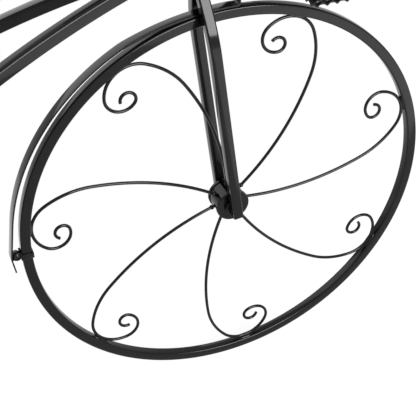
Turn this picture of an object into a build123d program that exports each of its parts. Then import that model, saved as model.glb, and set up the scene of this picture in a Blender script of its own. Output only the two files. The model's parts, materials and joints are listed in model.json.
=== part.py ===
from build123d import *
import math
import os

# Tricycle plant stand of black powder-coated steel, in millimetres.
# +X points forwards, +Y to the left of the stand, +Z up.
# The origin is on the floor, in the middle of the stand's length and width.

# Stock and fits
tube_side = 10.0
weld_gap = 0.05
run_gap = 0.4
shaft_gap = 0.05

# Wheels
front_wheel_r = 210.0
rear_wheel_r = 120.0
wheelbase = 560.0
rear_wheel_y = 140.0
spoke_wire = 2.8
front_spoke_count = 7
rear_spoke_count = 4
front_spoke_phase = 122.2
rear_spoke_phase = 100.0

# Scroll spoke as in the front wheel, from the hub outwards
spoke_sweep_r = 232.0
spoke_sweep_end = 125.0
spoke_lead_r = 37.0
spoke_rim_run = 8.0
spoke_scroll_r = 20.0
spoke_hook_r = 9.0
spoke_hook_angle = 200.0
rear_hook_angle = 60.0
spoke_end = 6.0

# Hubs
hub_r = 17.0
hub_width = 25.0
hub_boss_r = 9.0
hub_boss = 3.4
hub_sides = 20
front_axle_r = 4.0
rear_axle_r = 5.0

# Fork and steering head, along the steering axis, with the heights from the wheel's top
rake_angle = 7.5
fork_leg_y = 21.0
fork_leg_tail = 6.5
fork_bend_drop = 15.0
fork_bend_r = 25.0
fork_lean_angle = 20.0
crown_rise = 26.0
crown_t = 6.0
crown_length = 24.0
crown_width = 34.0
stem_r = 6.0
head_length = 52.0
head_r = 11.0
lock_nut_flats = 20.0
lock_nut_height = 9.0

# Guard strip over the front wheel: a tab, three arcs, a straight and a bent tail
guard_gap = 0.4
guard_t = 1.5
guard_width = 12.0
guard_start_angle = 88.8
guard_tab_r = 2.0
guard_first_over = 42.0
guard_first_angle = 27.5
guard_middle_r = 60.0
guard_run_angle = 0.297
guard_second_over = 5.0
guard_second_angle = 49.5
guard_straight = 34.0
guard_tail_r = 10.0
guard_tail_angle = 16.5
guard_tail = 20.0

# Clip that ties the guard strip to the front rim
clip_angle = 181.2
clip_width = 6.0
clip_t = 1.2
clip_eye_r = 3.7
lug_t = 3.0
lug_length = 9.0
clip_screw_r = 1.5
clip_head_r = 2.8
clip_head_t = 1.8
clip_nut_r = 3.0
clip_nut_t = 2.4

# Backbones, from the steering head back to the rear axle
backbone_drop_angle = 10.1
backbone_head_rise = 51.8
backbone_inset = 34.9

# Rear axle
axle_tube_r = 8.0
nut_flats = 15.0
nut_height = 7.0
nut_cap_height = 4.0
nut_cap_angle = 35.0

# Baskets: an inner frame of square bar with expanded steel net outside it
frame_side = 6.0
net_t = 1.5
net_border = 4.0
net_diamond_length = 96.0
net_diamond_height = 56.0
net_strand = 6.5
front_basket_rear = 31.2
front_basket_length = 160.0
front_basket_width = 180.0
front_basket_height = 90.0
front_basket_flare = 12.0
front_basket_rise = 34.7
rear_basket_lap = 6.0
rear_basket_length = 290.0
rear_basket_width = 220.0
rear_basket_height = 95.0
rear_basket_flare = 12.0
rear_basket_drop = 89.8
side_ways = (Vector(1, 0, 0), Vector(-1, 0, 0), Vector(0, 1, 0), Vector(0, -1, 0))

# Basket carriers
carrier_y = 12.0
carrier_side = 8.0
carrier_inset = 15.2
post_inset = 60.0
tie_lift = 9.0

# Handlebar
bar_rise = 190.0
bar_flat_half = 55.0
bar_half = 150.0
bar_back = 25.0
bar_end_back = 135.0
bar_end_half = 132.0
bar_bend_r = 32.0
grip_r = 9.5
grip_sides = 12
grip_length = 80.0
grip_cap = 3.0

# Places worked out from the sizes above
length = front_wheel_r + wheelbase + rear_wheel_r
front_axle_x = length / 2 - front_wheel_r
rear_axle_x = front_axle_x - wheelbase
front_centre = Vector(front_axle_x, 0, front_wheel_r)
steer_dir = Vector(-math.sin(math.radians(rake_angle)), 0, math.cos(math.radians(rake_angle)))
front_dir = Vector(math.cos(math.radians(rake_angle)), 0, math.sin(math.radians(rake_angle)))
fork_inner_y = fork_leg_y - tube_side / 2
fork_bend_s = front_wheel_r - fork_bend_drop
crown_s = front_wheel_r + crown_rise
crown_top_s = crown_s + crown_t
bar_s = front_wheel_r + bar_rise
head_low_s = crown_top_s + run_gap
lock_nut_s = head_low_s + head_length + run_gap
hub_half = hub_width / 2 + hub_boss
axle_tube_half = rear_wheel_y - hub_half - run_gap
cap_nut_y = rear_wheel_y + hub_half + run_gap
clip_eye_rise = clip_t + clip_nut_r + 2 * weld_gap
front_basket_z = 2 * front_wheel_r + front_basket_rise
carrier_top_z = front_basket_z - weld_gap
carrier_low_z = carrier_top_z - carrier_side
carrier_reach = front_basket_rear + front_basket_length - carrier_inset
backbone_head_z = front_wheel_r + backbone_head_rise
backbone_apex_x = front_axle_x - backbone_head_z * math.tan(math.radians(rake_angle))
backbone_rear_y = rear_wheel_y - backbone_inset
backbone_splay = math.atan(backbone_rear_y / (backbone_apex_x - rear_axle_x))
post_y = rear_wheel_y - post_inset
rear_basket_z = front_wheel_r + backbone_head_z - rear_basket_drop


def steer_plane(s):
    """The plane square to the steering axis at s, its X to the front and its Y to the left."""
    return Plane(origin=front_centre + steer_dir * s, x_dir=front_dir, z_dir=steer_dir)


def wheel_plane(x, y, z):
    """A wheel's own plane: its X forwards and its Y up."""
    return Plane(origin=(x, y, z), x_dir=(1, 0, 0), z_dir=(0, -1, 0))


def across(x, z, y, radius, thickness, bore_r=0):
    """A round bar or ring that lies across the stand and starts at y."""
    section = Circle(radius)
    if bore_r:
        section -= Circle(bore_r)
    return extrude(Plane(origin=(x, y, z), x_dir=(1, 0, 0), z_dir=(0, 1, 0)) * section, thickness)


def box_between(low, high):
    """A box from its low corner to its high corner."""
    size = Vector(*high) - Vector(*low)
    return Pos(*low) * Box(size.X, size.Y, size.Z, align=Align.MIN)


def square_bar(path, side, x_dir):
    """A closed square tube that follows a path."""
    start = Plane(origin=path @ 0, x_dir=x_dir, z_dir=path % 0)
    return sweep(start * Rectangle(side, side), path=path)


def flat_bar(path, width, thickness):
    """A flat strip that follows a path, its width across the stand."""
    start = Plane(origin=path @ 0, x_dir=(0, 1, 0), z_dir=path % 0)
    return sweep(start * Rectangle(width, thickness), path=path)


def axle_tube_space():
    """The room that the axle tube takes, with its weld gap."""
    radius = axle_tube_r + weld_gap
    return across(rear_axle_x, rear_wheel_r, -axle_tube_half, radius, 2 * axle_tube_half)


def group(solids):
    """Several solids of one node."""
    return Compound(children=list(solids))


# Wheels


def rim(plane, radius):
    """A square tube rolled into a ring."""
    section = Pos(radius - tube_side / 2, 0) * Rectangle(tube_side, tube_side)
    turned = Plane(origin=plane.origin, x_dir=plane.x_dir, z_dir=-plane.y_dir)
    return revolve(turned * section, axis=Axis(plane.origin, plane.z_dir))


def spoke_path(radius, hook_turn):
    """Tangent arcs from the hub, along the rim's inner face and back into the scroll."""
    share = (radius - tube_side) / (front_wheel_r - tube_side)
    contact = radius - tube_side - spoke_wire / 2 - weld_gap
    sweep_r = spoke_sweep_r * share
    sweep_end = spoke_sweep_end * share
    lead_r = spoke_lead_r * share
    scroll_r = spoke_scroll_r * share
    hook_r = spoke_hook_r * share
    sweep_centre = Vector(sweep_end, sweep_r - lead_r)
    start_r = hub_r - spoke_wire
    reach = sweep_centre.length
    cosine = (reach**2 + sweep_r**2 - start_r**2) / (2 * reach * sweep_r)
    to_hub = math.degrees(math.atan2(-sweep_centre.Y, -sweep_centre.X)) + 360
    start = to_hub + math.degrees(math.acos(cosine))
    run = math.degrees(spoke_rim_run * share / contact)
    out = Vector(math.cos(math.radians(run)), math.sin(math.radians(run)))
    turn = run + 180 + hook_turn
    hook_out = Vector(math.cos(math.radians(turn)), math.sin(math.radians(turn)))
    hook_centre = out * (contact - 2 * scroll_r + hook_r)
    tip = hook_centre + hook_out * hook_r
    pieces = [
        CenterArc(sweep_centre, sweep_r, start, 270 - start),
        Line((sweep_end, -lead_r), (contact - lead_r, -lead_r)),
        CenterArc((contact - lead_r, 0), lead_r, 270, 90),
        CenterArc((0, 0), contact, 0, run),
        CenterArc(out * (contact - scroll_r), scroll_r, run, 180),
        CenterArc(hook_centre, hook_r, run + 180, hook_turn),
        Line(tip, tip + Vector(-hook_out.Y, hook_out.X) * spoke_end * share),
    ]
    return Wire([edge for piece in pieces for edge in piece.edges()])


def spokes(plane, path, count, phase):
    """The scroll spokes of one wheel, each coped to the hub."""
    wire = square_bar(path, spoke_wire, (0, 0, 1))
    wire -= Cylinder(hub_r + weld_gap, hub_width)
    return [plane * Rot(0, 0, phase + 360 * i / count) * wire for i in range(count)]


def hub(plane, axle_r):
    """A drum with a boss on each face, bored for its axle."""
    drum = extrude(RegularPolygon(hub_r, hub_sides), hub_width / 2, both=True)
    drum += extrude(RegularPolygon(hub_boss_r, hub_sides), hub_half, both=True)
    return plane * (drum - Cylinder(axle_r + shaft_gap, 2 * hub_half))


def front_axle():
    """The rod between the fork legs that the front hub sits on."""
    reach = fork_inner_y - weld_gap
    return across(front_axle_x, front_wheel_r, -reach, front_axle_r, 2 * reach)


# Fork and steering head


def fork_leg(side):
    """One leg: straight beside the wheel, then leaning in to end under the crown."""
    top_s = crown_s + tube_side
    lean_in = (top_s - fork_bend_s) * math.tan(math.radians(fork_lean_angle))
    points = [
        (side * fork_leg_y, -fork_leg_tail),
        (side * fork_leg_y, fork_bend_s),
        (side * (fork_leg_y - lean_in), top_s),
    ]
    plane = Plane(origin=front_centre, x_dir=(0, 1, 0), z_dir=front_dir)
    leg = square_bar(plane * FilletPolyline(*points, radius=fork_bend_r), tube_side, front_dir)
    above = Pos(0, 0, head_length / 2) * Box(head_length, head_length, head_length)
    return leg - steer_plane(crown_s - weld_gap) * above


def fork_crown():
    """The plate that joins the two legs to the steering stem."""
    return steer_plane(crown_s + crown_t / 2) * Box(crown_length, crown_width, crown_t)


def steering_stem():
    """The shaft from the crown through the head tube up to the handlebar."""
    low_s = crown_top_s + weld_gap
    return extrude(steer_plane(low_s) * Circle(stem_r), bar_s - tube_side / 2 - weld_gap - low_s)


def head_tube():
    """The thick tube that the steering stem turns in."""
    return extrude(steer_plane(head_low_s) * (Circle(head_r) - Circle(stem_r + shaft_gap)), head_length)


def lock_nut():
    """The hexagon nut on the stem that keeps the fork in the head tube."""
    section = RegularPolygon(lock_nut_flats / 2, 6, major_radius=False) - Circle(stem_r + shaft_gap)
    return extrude(steer_plane(lock_nut_s) * section, lock_nut_height)


# Guard strip and its clip


def guard_pieces():
    """A tab turned up in front, three arcs over the tread, a straight and a bent tail."""
    normal = math.radians(guard_start_angle)
    heading = Vector(-math.sin(normal), math.cos(normal))
    start = Vector(math.cos(normal), math.sin(normal)) * (front_wheel_r + guard_gap + guard_t / 2)
    tab_bend = JernArc(start, -heading, guard_tab_r, 180 - guard_start_angle)
    tab_low = tab_bend @ 1
    tab = Line(tab_low, (tab_low.X, carrier_top_z - front_wheel_r))
    first = JernArc(start, heading, front_wheel_r + guard_first_over, guard_first_angle)
    away = (first @ 1).normalized()
    leaving = math.degrees(math.asin(away.dot(first % 1))) - guard_run_angle
    middle = JernArc(first @ 1, first % 1, guard_middle_r, leaving / (1 - guard_middle_r / (first @ 1).length))
    second = JernArc(middle @ 1, middle % 1, front_wheel_r + guard_second_over, guard_second_angle)
    straight = Line(second @ 1, (second @ 1) + (second % 1) * guard_straight)
    turn = JernArc(straight @ 1, straight % 1, guard_tail_r, guard_tail_angle)
    tail = Line(turn @ 1, (turn @ 1) + (turn % 1) * guard_tail)
    return tab, tab_bend, first, middle, second, straight, turn, tail


def guard_path():
    """The strip's middle line in the plane of the front wheel."""
    edges = [edge for piece in guard_pieces() for edge in piece.edges()]
    return wheel_plane(*front_centre) * Wire(edges)


def guard_strip():
    """A flat strip bent to its path over the front wheel."""
    return flat_bar(guard_path(), guard_width, guard_t)


def clip_plane(radius):
    """The clip's frame at a radius of the wheel: its X outwards, its Y to the left of the stand."""
    angle = math.radians(clip_angle)
    out = Vector(math.cos(angle), 0, math.sin(angle))
    return Plane(origin=front_centre + out * radius, x_dir=out, z_dir=(-out.Z, 0, out.X))


def clip_eye_plane(y):
    """The plane across the clip's screw at y, its X outwards from the wheel."""
    eye = clip_plane(front_wheel_r + clip_eye_rise)
    return Plane(origin=eye.origin + Vector(0, y, 0), x_dir=eye.x_dir, z_dir=(0, 1, 0))


def rim_clip():
    """A band round the rim whose two ends stand out as ears, one on each side of the lug."""
    ear_y = lug_t / 2 + weld_gap
    inner_side = tube_side + 2 * weld_gap
    outer_side = inner_side + 2 * clip_t
    slot = Pos(outer_side / 2, 0) * Rectangle(3 * clip_t, 2 * ear_y)
    outline = Rectangle(outer_side, outer_side) - Rectangle(inner_side, inner_side) - slot
    clip = extrude(clip_plane(front_wheel_r - tube_side / 2) * outline, clip_width / 2, both=True)
    ear_length = clip_eye_rise + clip_eye_r
    ear = Pos(clip_eye_r - ear_length / 2, 0) * Rectangle(ear_length - 2 * weld_gap, clip_width)
    ear -= Circle(clip_screw_r + shaft_gap)
    for y in (-ear_y - clip_t, ear_y):
        clip += extrude(clip_eye_plane(y) * ear, clip_t)
    return clip


def guard_lug():
    """The small block on the strip's inner face that the clip's screw goes through."""
    block = Pos(clip_eye_r / 2, 0) * Rectangle(2 * clip_eye_r, lug_length) - Circle(clip_screw_r + shaft_gap)
    lug = extrude(clip_eye_plane(-lug_t / 2) * block, lug_t)
    return lug - flat_bar(guard_path(), guard_width, guard_t + 2 * weld_gap)


def clip_side_y():
    """The outer side of the clip's left ear, with its gap."""
    return lug_t / 2 + weld_gap + clip_t + weld_gap


def clip_screw():
    """A screw across the ears, its head on the right."""
    side_y = clip_side_y()
    shank = extrude(clip_eye_plane(-side_y) * Circle(clip_screw_r), 2 * side_y + clip_nut_t)
    return shank + extrude(clip_eye_plane(-side_y - clip_head_t) * Circle(clip_head_r), clip_head_t)


def clip_nut():
    """The hexagon nut on the left end of the clip's screw."""
    section = RegularPolygon(clip_nut_r, 6) - Circle(clip_screw_r + shaft_gap)
    return extrude(clip_eye_plane(clip_side_y()) * section, clip_nut_t)


# Frame from the steering head to the rear axle


def backbone_arc():
    """A backbone's middle line in its own upright plane, from the steering axis to the rear axle."""
    drop = math.radians(backbone_drop_angle)
    end = ((backbone_apex_x - rear_axle_x) / math.cos(backbone_splay), rear_wheel_r - front_wheel_r)
    return TangentArc((0, backbone_head_z), end, tangent=(math.cos(drop), -math.sin(drop)))


def backbone_bar(side, square):
    """One backbone before its ends are cut: a long arc."""
    back = Vector(-math.cos(backbone_splay), side * math.sin(backbone_splay), 0)
    plane = Plane(origin=(backbone_apex_x, 0, front_wheel_r), x_dir=back, z_dir=(back.Y, -back.X, 0))
    return square_bar(plane * Wire(backbone_arc().edges()), square, plane.z_dir)


def backbone(side):
    """A backbone mitred to the other one, and coped to the head tube and to the axle tube."""
    reach = 2 * front_wheel_r
    beyond = Pos(backbone_apex_x, side * (weld_gap - reach) / 2, reach) * Box(reach, reach, reach)
    bar = backbone_bar(side, tube_side) - beyond
    bar -= extrude(steer_plane(0) * Circle(head_r + weld_gap), reach)
    return bar - axle_tube_space()


def tie_x():
    """Where the cross tie's middle stands at its height above the backbones' middle line."""
    arc = backbone_arc()
    height = rear_basket_z - weld_gap - tube_side / 2 - tie_lift - front_wheel_r
    rise = height - arc.arc_center.Y
    reach = arc.arc_center.X + math.sqrt(arc.radius**2 - rise**2)
    return backbone_apex_x - reach * math.cos(backbone_splay)


def cross_tie():
    """The bar across the backbones that carries the front of the rear basket."""
    x = tie_x()
    top_z = rear_basket_z - weld_gap
    half_width = (backbone_apex_x - x) * math.tan(backbone_splay) + tube_side
    low = (x - tube_side / 2, -half_width, top_z - tube_side)
    tie = box_between(low, (x + tube_side / 2, half_width, top_z))
    for side in (-1, 1):
        tie -= backbone_bar(side, tube_side + 2 * weld_gap)
    return tie


def rear_axle_tube():
    """The tube that both backbones end on and the rear axle goes through."""
    bore_r = rear_axle_r + shaft_gap
    return across(rear_axle_x, rear_wheel_r, -axle_tube_half, axle_tube_r, 2 * axle_tube_half, bore_r)


def rear_axle():
    """The rod through the axle tube and both rear hubs into the cap nuts."""
    reach = cap_nut_y + nut_height
    return across(rear_axle_x, rear_wheel_r, -reach, rear_axle_r, 2 * reach)


def cap_nut(side):
    """A hexagon nut with a tapered closed end on one end of the rear axle."""
    plane = Plane(origin=(rear_axle_x, side * cap_nut_y, rear_wheel_r), x_dir=(1, 0, 0), z_dir=(0, side, 0))
    hexagon = RegularPolygon(nut_flats / 2, 6, major_radius=False)
    nut = extrude(hexagon, nut_height)
    nut += Pos(0, 0, nut_height) * extrude(hexagon, nut_cap_height, taper=nut_cap_angle)
    return plane * (nut - extrude(Circle(rear_axle_r + shaft_gap), nut_height + weld_gap))


def rear_post(side):
    """An upright from the axle tube to the rear tie."""
    half = tube_side / 2
    low = (rear_axle_x - half, side * post_y - half, rear_wheel_r)
    top_z = rear_basket_z - tube_side - 2 * weld_gap
    post = box_between(low, (rear_axle_x + half, side * post_y + half, top_z))
    return post - axle_tube_space()


def rear_tie():
    """The bar across the posts that carries the back of the rear basket."""
    half = tube_side / 2
    top_z = rear_basket_z - weld_gap
    low = (rear_axle_x - half, -post_y - tube_side, top_z - tube_side)
    return box_between(low, (rear_axle_x + half, post_y + tube_side, top_z))


# Baskets


def diamonds(area):
    """Staggered diamonds over an area, with a crossing of the strands at its middle."""
    size = area.bounding_box().size
    share = 1 - net_strand / net_diamond_height
    half_along = net_diamond_length / 2 * share
    half_up = net_diamond_height / 2 * share
    hole = Polygon((half_along, 0), (0, half_up), (-half_along, 0), (0, -half_up), align=None)
    columns = 2 * math.ceil(size.X / net_diamond_length / 2) + 1
    rows = 2 * math.ceil(size.Y / net_diamond_height / 2)
    places = [
        *GridLocations(net_diamond_length, net_diamond_height, columns, rows),
        *GridLocations(net_diamond_length, net_diamond_height, columns + 1, rows + 1),
    ]
    return [place * hole for place in places]


def expanded(outline, area):
    """A steel sheet whose area inside the border is cut into diamonds."""
    holes = []
    for diamond in diamonds(area):
        cut = area & diamond
        if cut:
            holes += [face for face in cut.faces() if face.area > net_strand**2]
    return outline - holes


def trapezoid(low_width, high_width, height, border):
    """A side's outline about its middle, less a border all round."""
    slope = (high_width - low_width) / height / 2
    low = low_width / 2 + slope * border - border
    high = high_width / 2 - slope * border - border
    top = height / 2 - border
    return Polygon((-low, -top), (low, -top), (high, top), (-high, top), align=None)


def frame_ring(outer_length, outer_width):
    """A ring of square bar with its underside at 0."""
    inner = Rectangle(outer_length - 2 * frame_side, outer_width - 2 * frame_side)
    return extrude(Rectangle(outer_length, outer_width) - inner, frame_side)


class Basket:
    """An open basket of five nets round a frame, its four sides leaning outwards."""

    def __init__(self, middle_x, low_z, floor_length, floor_width, height, flare):
        self.middle_x = middle_x
        self.low_z = low_z
        self.floor_length = floor_length
        self.floor_width = floor_width
        self.rise = height
        self.lean = flare / height
        self.rim_z = low_z + height - frame_side

    def grown(self, z):
        """How far the frame's outside stands from the floor's edge at z."""
        return self.lean * (z - self.low_z) - net_t - weld_gap

    def frame(self, z):
        """The frame's ring with its underside at z."""
        grow = 2 * self.grown(z)
        return Pos(self.middle_x, 0, z) * frame_ring(self.floor_length + grow, self.floor_width + grow)

    def corner_post(self, way_x, way_y):
        """A leaning bar between the two rings at one corner."""
        sections = []
        for level, z in (
            (self.low_z, self.low_z + frame_side + weld_gap),
            (self.rim_z, self.rim_z - weld_gap),
        ):
            inwards = self.grown(level) - frame_side / 2
            x = self.middle_x + way_x * (self.floor_length / 2 + inwards)
            y = way_y * (self.floor_width / 2 + inwards)
            sections.append(Pos(x, y, z) * Rectangle(frame_side, frame_side))
        return loft(sections)

    def floor_net(self):
        """The flat net inside the lower ring."""
        inset = 2 * (net_t + frame_side + 2 * weld_gap)
        length = self.floor_length - inset
        width = self.floor_width - inset
        area = Rectangle(length - 2 * net_border, width - 2 * net_border)
        return Pos(self.middle_x, 0, self.low_z) * extrude(expanded(Rectangle(length, width), area), net_t)

    def side_net(self, way):
        """The net on the side that way points to."""
        reach = self.floor_length if way.X else self.floor_width
        span = self.floor_width if way.X else self.floor_length
        start = net_t * self.lean
        low_width = span - 2 * (net_t + weld_gap) + 2 * self.lean * start
        high_width = low_width + 2 * self.lean * (self.rise - start)
        slant = (self.rise - start) * math.hypot(1, self.lean)
        outline = trapezoid(low_width, high_width, slant, 0)
        sheet = expanded(outline, trapezoid(low_width, high_width, slant, net_border))
        climb = way * self.lean + Vector(0, 0, 1)
        edge = Vector(self.middle_x, 0, self.low_z) + way * (reach / 2 - net_t)
        middle = edge + climb * ((start + self.rise) / 2)
        along = climb.cross(way).normalized()
        return extrude(Plane(origin=middle, x_dir=along, z_dir=along.cross(climb)) * sheet, net_t)

    def nodes(self, name):
        """The basket's nodes by name."""
        return {
            f"{name}_base_frame": self.frame(self.low_z),
            f"{name}_rim_frame": self.frame(self.rim_z),
            f"{name}_corner_posts": group(self.corner_post(x, y) for x in (-1, 1) for y in (-1, 1)),
            f"{name}_floor_net": self.floor_net(),
            f"{name}_side_nets": group(self.side_net(way) for way in side_ways),
        }


# Carrier of the front basket


def carrier_rail(side):
    """A rail from the fork's crown forwards under the front basket."""
    y = side * carrier_y
    half = carrier_side / 2
    high = (front_axle_x + carrier_reach, y + half, carrier_top_z)
    rail = box_between((backbone_apex_x, y - half, carrier_low_z), high)
    behind = Pos((crown_length - head_length) / 2 + weld_gap, 0, 0) * Box(
        head_length, head_length, head_length
    )
    return rail - steer_plane(crown_s) * behind


def carrier_cross():
    """The short bar between the rails that the guard strip's tab is welded to."""
    tab = guard_pieces()[0]
    half = carrier_y - carrier_side / 2 - weld_gap
    low_x = front_axle_x + (tab @ 0).X + guard_t / 2 + weld_gap
    return box_between((low_x, -half, carrier_low_z), (low_x + carrier_side, half, carrier_top_z))


# Handlebar


def bar_points(side):
    """The last corner and the end of the handlebar on one side, in the bar's plane."""
    return Vector(-bar_back, side * bar_half), Vector(-bar_end_back, side * bar_end_half)


def handlebar():
    """A bent square tube, straight over the stem and swept back to both grips."""
    left_corner, left_end = bar_points(1)
    right_corner, right_end = bar_points(-1)
    points = [left_end, left_corner, (0, bar_flat_half), (0, -bar_flat_half), right_corner, right_end]
    path = steer_plane(bar_s) * FilletPolyline(*points, radius=bar_bend_r)
    return square_bar(path, tube_side, steer_dir)


def grip(side):
    """A sleeve of many sides with a closed end over one end of the handlebar."""
    corner, end = bar_points(side)
    out = (end - corner).normalized()
    start = end + out * (grip_cap + weld_gap - grip_length)
    place = steer_plane(bar_s).location * Plane(origin=start, x_dir=(0, 0, 1), z_dir=out).location
    bore = Rectangle(tube_side + 2 * shaft_gap, tube_side + 2 * shaft_gap)
    return place * (extrude(RegularPolygon(grip_r, grip_sides), grip_length) - extrude(bore, grip_length - grip_cap))


# All nodes by name


def front_wheel():
    plane = wheel_plane(*front_centre)
    return {
        "front_rim": rim(plane, front_wheel_r),
        "front_hub": hub(plane, front_axle_r),
        "front_axle": front_axle(),
        "front_spokes": group(
            spokes(plane, spoke_path(front_wheel_r, spoke_hook_angle), front_spoke_count, front_spoke_phase)
        ),
    }


def rear_wheel(name, side):
    plane = wheel_plane(rear_axle_x, side * rear_wheel_y, rear_wheel_r)
    return {
        f"{name}_rim": rim(plane, rear_wheel_r),
        f"{name}_hub": hub(plane, rear_axle_r),
        f"{name}_spokes": group(
            spokes(plane, spoke_path(rear_wheel_r, rear_hook_angle), rear_spoke_count, rear_spoke_phase)
        ),
    }


def steering():
    return {
        "fork_leg_left": fork_leg(1),
        "fork_leg_right": fork_leg(-1),
        "fork_crown": fork_crown(),
        "steering_stem": steering_stem(),
        "lock_nut": lock_nut(),
        "handlebar": handlebar(),
        "left_grip": grip(1),
        "right_grip": grip(-1),
        "left_carrier_rail": carrier_rail(1),
        "right_carrier_rail": carrier_rail(-1),
        "carrier_cross": carrier_cross(),
    }


def guard():
    return {
        "guard_strip": guard_strip(),
        "guard_lug": guard_lug(),
        "rim_clip": rim_clip(),
        "clip_screw": clip_screw(),
        "clip_nut": clip_nut(),
    }


def main_frame():
    return {
        "head_tube": head_tube(),
        "left_backbone": backbone(1),
        "right_backbone": backbone(-1),
        "cross_tie": cross_tie(),
        "rear_axle_tube": rear_axle_tube(),
        "rear_axle": rear_axle(),
        "rear_cap_nuts": group([cap_nut(1), cap_nut(-1)]),
        "left_post": rear_post(1),
        "right_post": rear_post(-1),
        "rear_tie": rear_tie(),
    }


def baskets():
    front = Basket(
        front_axle_x + front_basket_rear + front_basket_length / 2,
        front_basket_z,
        front_basket_length,
        front_basket_width,
        front_basket_height,
        front_basket_flare,
    )
    rear = Basket(
        tie_x() + rear_basket_lap - rear_basket_length / 2,
        rear_basket_z,
        rear_basket_length,
        rear_basket_width,
        rear_basket_height,
        rear_basket_flare,
    )
    return front.nodes("front_basket") | rear.nodes("rear_basket")


def main():
    nodes = front_wheel() | rear_wheel("rear_left", 1) | rear_wheel("rear_right", -1)
    nodes |= steering() | guard() | main_frame() | baskets()
    os.makedirs("parts", exist_ok=True)
    for name, shape in nodes.items():
        export_step(shape, f"parts/{name}.step")


if __name__ == "__main__":
    main()
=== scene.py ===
import json
import math

import bmesh
import bpy
from mathutils import Matrix, Vector


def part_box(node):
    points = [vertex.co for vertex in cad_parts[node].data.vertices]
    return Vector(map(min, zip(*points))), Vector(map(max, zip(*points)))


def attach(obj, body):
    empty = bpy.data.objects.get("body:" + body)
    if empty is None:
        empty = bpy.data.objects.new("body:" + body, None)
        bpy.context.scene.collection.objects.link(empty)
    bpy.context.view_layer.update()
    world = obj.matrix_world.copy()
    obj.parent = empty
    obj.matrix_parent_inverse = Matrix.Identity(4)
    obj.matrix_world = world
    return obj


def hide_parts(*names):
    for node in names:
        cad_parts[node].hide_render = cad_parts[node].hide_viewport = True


bl_info = {
    "name": "Tricycle plant stand",
    "version": (1, 0, 0),
    "blender": (4, 5, 0),
    "location": "3D View > Sidebar > Plant stand",
    "description": "Dresses the stand's frame with rounded tubes, wire scrolls, nets and finishes",
    "category": "Object",
}

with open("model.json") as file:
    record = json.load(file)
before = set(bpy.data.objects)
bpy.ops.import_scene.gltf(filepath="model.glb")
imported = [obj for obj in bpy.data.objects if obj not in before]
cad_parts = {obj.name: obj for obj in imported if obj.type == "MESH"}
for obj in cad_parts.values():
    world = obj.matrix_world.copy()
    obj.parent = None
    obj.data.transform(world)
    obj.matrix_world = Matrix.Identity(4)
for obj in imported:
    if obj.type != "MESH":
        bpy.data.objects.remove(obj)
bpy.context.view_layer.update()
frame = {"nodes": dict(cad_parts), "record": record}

MM = 0.001
ACROSS = Vector((0, 1, 0))
UP = Vector((0, 0, 1))
# The name that starts each wheel's nodes, and the wheel's body
WHEELS = (("front", "steering"), ("rear_left", "rear_left_wheel"), ("rear_right", "rear_right_wheel"))


def low_corner(node):
    """The corner of a CAD node's box with the least of each coordinate."""
    return Vector(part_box(node)[0])


def high_corner(node):
    """The corner of a CAD node's box with the most of each coordinate."""
    return Vector(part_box(node)[1])


def middle(node):
    """The middle of a CAD node's box."""
    return (low_corner(node) + high_corner(node)) / 2


def extent(node):
    """The size of a CAD node's box."""
    return high_corner(node) - low_corner(node)


# Sizes and colours that a user would change


class WheelSizes(bpy.types.PropertyGroup):
    """Sizes of the three wheels and their scroll spokes."""

    tube: bpy.props.FloatProperty(
        name="Tube", description="Side of the square tube", default=extent("front_rim").y, unit="LENGTH"
    )
    corner: bpy.props.FloatProperty(
        name="Tube corner", description="Radius of the tube's corners", default=1.6 * MM, unit="LENGTH"
    )
    wire: bpy.props.FloatProperty(
        name="Spoke wire", description="Thickness of the round wire", default=3.2 * MM, unit="LENGTH"
    )
    front_count: bpy.props.IntProperty(name="Front spokes", description="Number of front spokes", default=7)
    rear_count: bpy.props.IntProperty(
        name="Rear spokes", description="Number of spokes of each rear wheel", default=4
    )
    front_phase: bpy.props.FloatProperty(
        name="Front phase",
        description="Where the first front spoke meets the rim",
        default=math.radians(122.2),
        subtype="ANGLE",
    )
    rear_phase: bpy.props.FloatProperty(
        name="Rear phase",
        description="Where the first rear spoke meets the rim",
        default=math.radians(100),
        subtype="ANGLE",
    )
    hook: bpy.props.FloatProperty(
        name="Hook",
        description="Turn of the scroll's inner hook",
        default=math.radians(230),
        subtype="ANGLE",
    )


class FrameSizes(bpy.types.PropertyGroup):
    """Sizes of the fork, the backbones, the guard strip and the handlebar."""

    rake: bpy.props.FloatProperty(
        name="Rake", description="Lean of the steering axis", default=math.radians(7.5), subtype="ANGLE"
    )
    fork_bend: bpy.props.FloatProperty(
        name="Fork bend",
        description="Height of the legs' bend above the axle",
        default=195 * MM,
        unit="LENGTH",
    )
    fork_lean: bpy.props.FloatProperty(
        name="Fork lean",
        description="Lean of the legs above the bend",
        default=math.radians(20),
        subtype="ANGLE",
    )
    splay: bpy.props.FloatProperty(
        name="Splay",
        description="Angle of each backbone in plan",
        default=math.radians(11.31),
        subtype="ANGLE",
    )
    drop: bpy.props.FloatProperty(
        name="Drop",
        description="Slope of the backbones at the head",
        default=math.radians(10.1),
        subtype="ANGLE",
    )
    head_height: bpy.props.FloatProperty(
        name="Head height",
        description="Height of the backbones' meeting point above the front axle",
        default=262.8 * MM,
        unit="LENGTH",
    )
    bar_height: bpy.props.FloatProperty(
        name="Bar height",
        description="Handlebar along the steering axis",
        default=400 * MM,
        unit="LENGTH",
    )


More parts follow.
